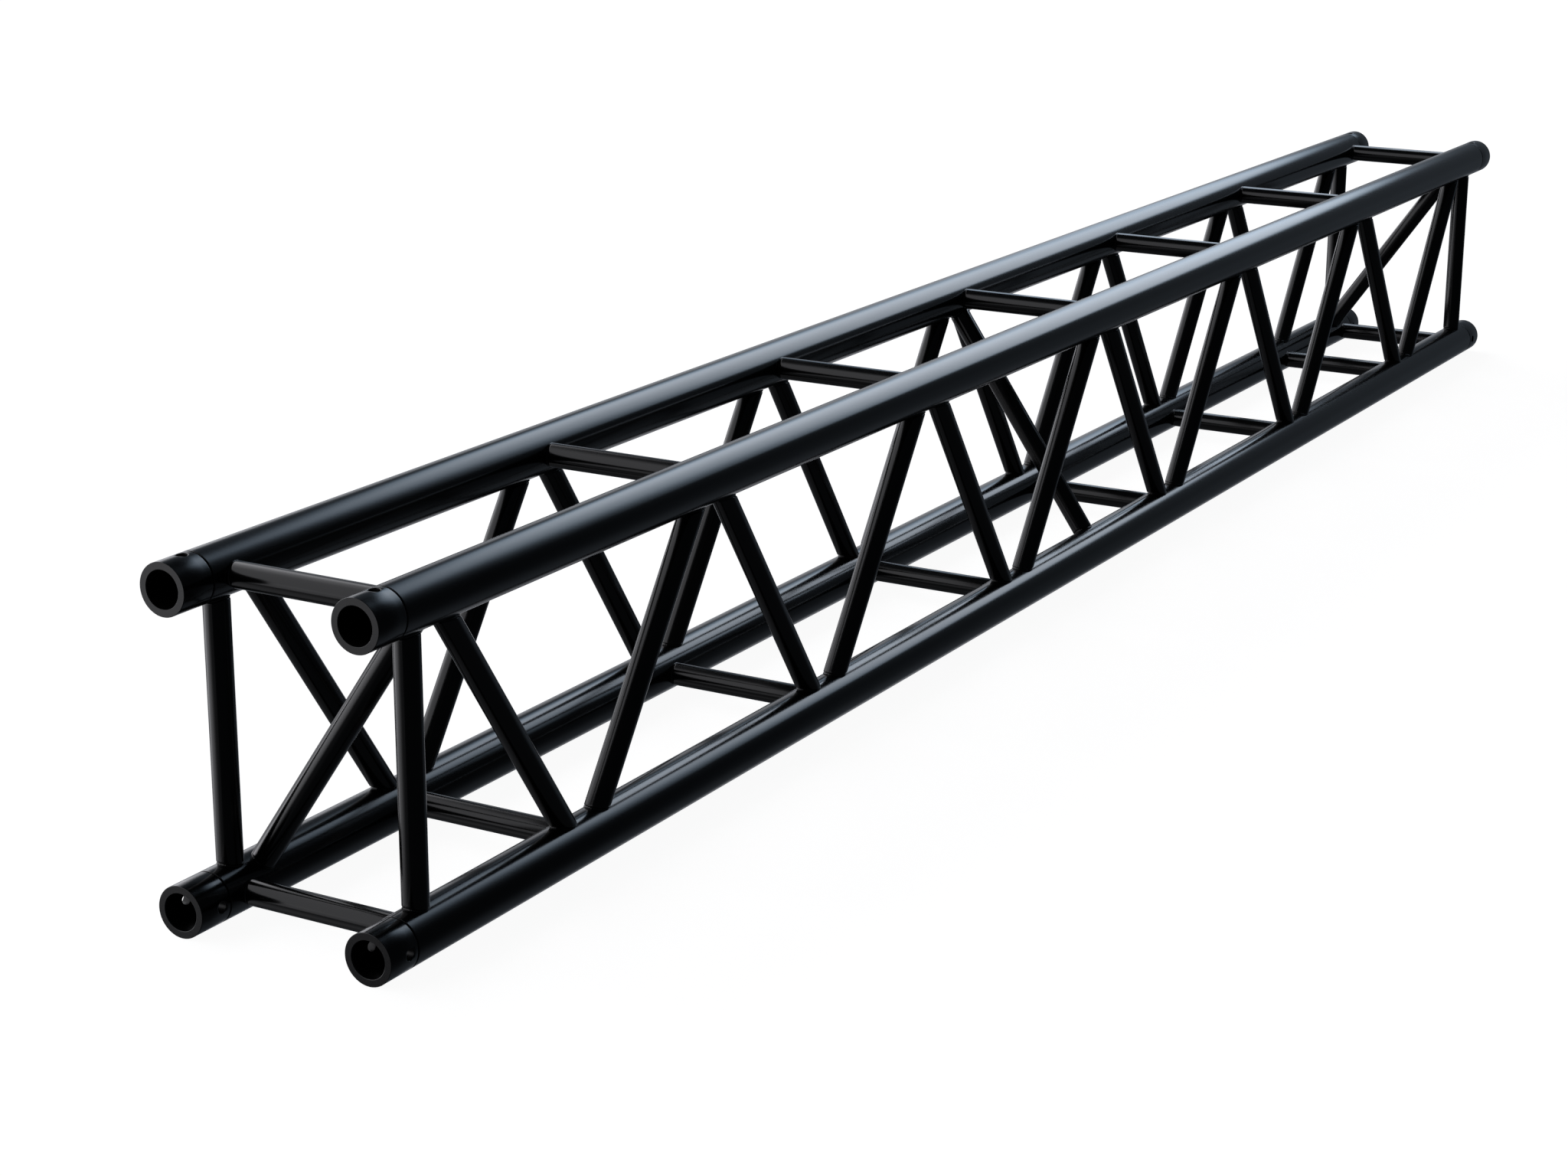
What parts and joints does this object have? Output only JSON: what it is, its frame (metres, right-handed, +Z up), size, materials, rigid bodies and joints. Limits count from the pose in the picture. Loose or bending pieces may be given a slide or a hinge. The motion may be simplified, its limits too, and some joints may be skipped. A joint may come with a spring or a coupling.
{
  "type": "lighting truss section",
  "caption": "Straight black box truss section, 3 m long, of round chords with welded lattice braces and conical pin receivers at both ends.",
  "frame": {"origin": "centre of the underside: mid length, midway between the bottom chords, at the height of their lowest line", "axes": "+X along the length, from end A to end B; +Z up; +Y to the left when looking from end A to end B"},
  "size_m": [3, 0.258, 0.35],
  "materials": {
    "chord_coat": "satin black powder coat on round aluminium tube",
    "brace_coat": "satin black powder coat on round aluminium tube",
    "receiver_coat": "satin black powder coat on turned aluminium",
    "weld_coat": "black powder coat over a rippled weld bead"
  },
  "bodies": {
    "root": {"bottom_rung_1": "brace_coat", "bottom_rung_2": "brace_coat", "bottom_rung_3": "brace_coat", "bottom_rung_4": "brace_coat", "bottom_rung_5": "brace_coat", "bottom_rung_6": "brace_coat", "bottom_rung_end_a": "brace_coat", "bottom_rung_end_b": "brace_coat", "brace_weld_beads": "weld_coat", "chord_bottom_left": "chord_coat", "chord_bottom_right": "chord_coat", "chord_top_left": "chord_coat", "chord_top_right": "chord_coat", "cross_brace_end_a": "brace_coat", "cross_brace_end_b": "brace_coat", "cross_brace_middle": "brace_coat", "diagonal_left_1_falling": "brace_coat", "diagonal_left_1_rising": "brace_coat", "diagonal_left_2_falling": "brace_coat", "diagonal_left_2_rising": "brace_coat", "diagonal_left_3_falling": "brace_coat", "diagonal_left_3_rising": "brace_coat", "diagonal_left_4_falling": "brace_coat", "diagonal_left_4_rising": "brace_coat", "diagonal_left_5_falling": "brace_coat", "diagonal_left_5_rising": "brace_coat", "diagonal_left_6_falling": "brace_coat", "diagonal_left_6_rising": "brace_coat", "diagonal_right_1_falling": "brace_coat", "diagonal_right_1_rising": "brace_coat", "diagonal_right_2_falling": "brace_coat", "diagonal_right_2_rising": "brace_coat", "diagonal_right_3_falling": "brace_coat", "diagonal_right_3_rising": "brace_coat", "diagonal_right_4_falling": "brace_coat", "diagonal_right_4_rising": "brace_coat", "diagonal_right_5_falling": "brace_coat", "diagonal_right_5_rising": "brace_coat", "diagonal_right_6_falling": "brace_coat", "diagonal_right_6_rising": "brace_coat", "end_post_a_left": "brace_coat", "end_post_a_right": "brace_coat", "end_post_b_left": "brace_coat", "end_post_b_right": "brace_coat", "receiver_a_bottom_left": "receiver_coat", "receiver_a_bottom_right": "receiver_coat", "receiver_a_top_left": "receiver_coat", "receiver_a_top_right": "receiver_coat", "receiver_b_bottom_left": "receiver_coat", "receiver_b_bottom_right": "receiver_coat", "receiver_b_top_left": "receiver_coat", "receiver_b_top_right": "receiver_coat", "receiver_weld_beads": "weld_coat", "top_rung_1": "brace_coat", "top_rung_2": "brace_coat", "top_rung_3": "brace_coat", "top_rung_4": "brace_coat", "top_rung_5": "brace_coat", "top_rung_end_a": "brace_coat", "top_rung_end_b": "brace_coat"}
  },
  "joints": []
}
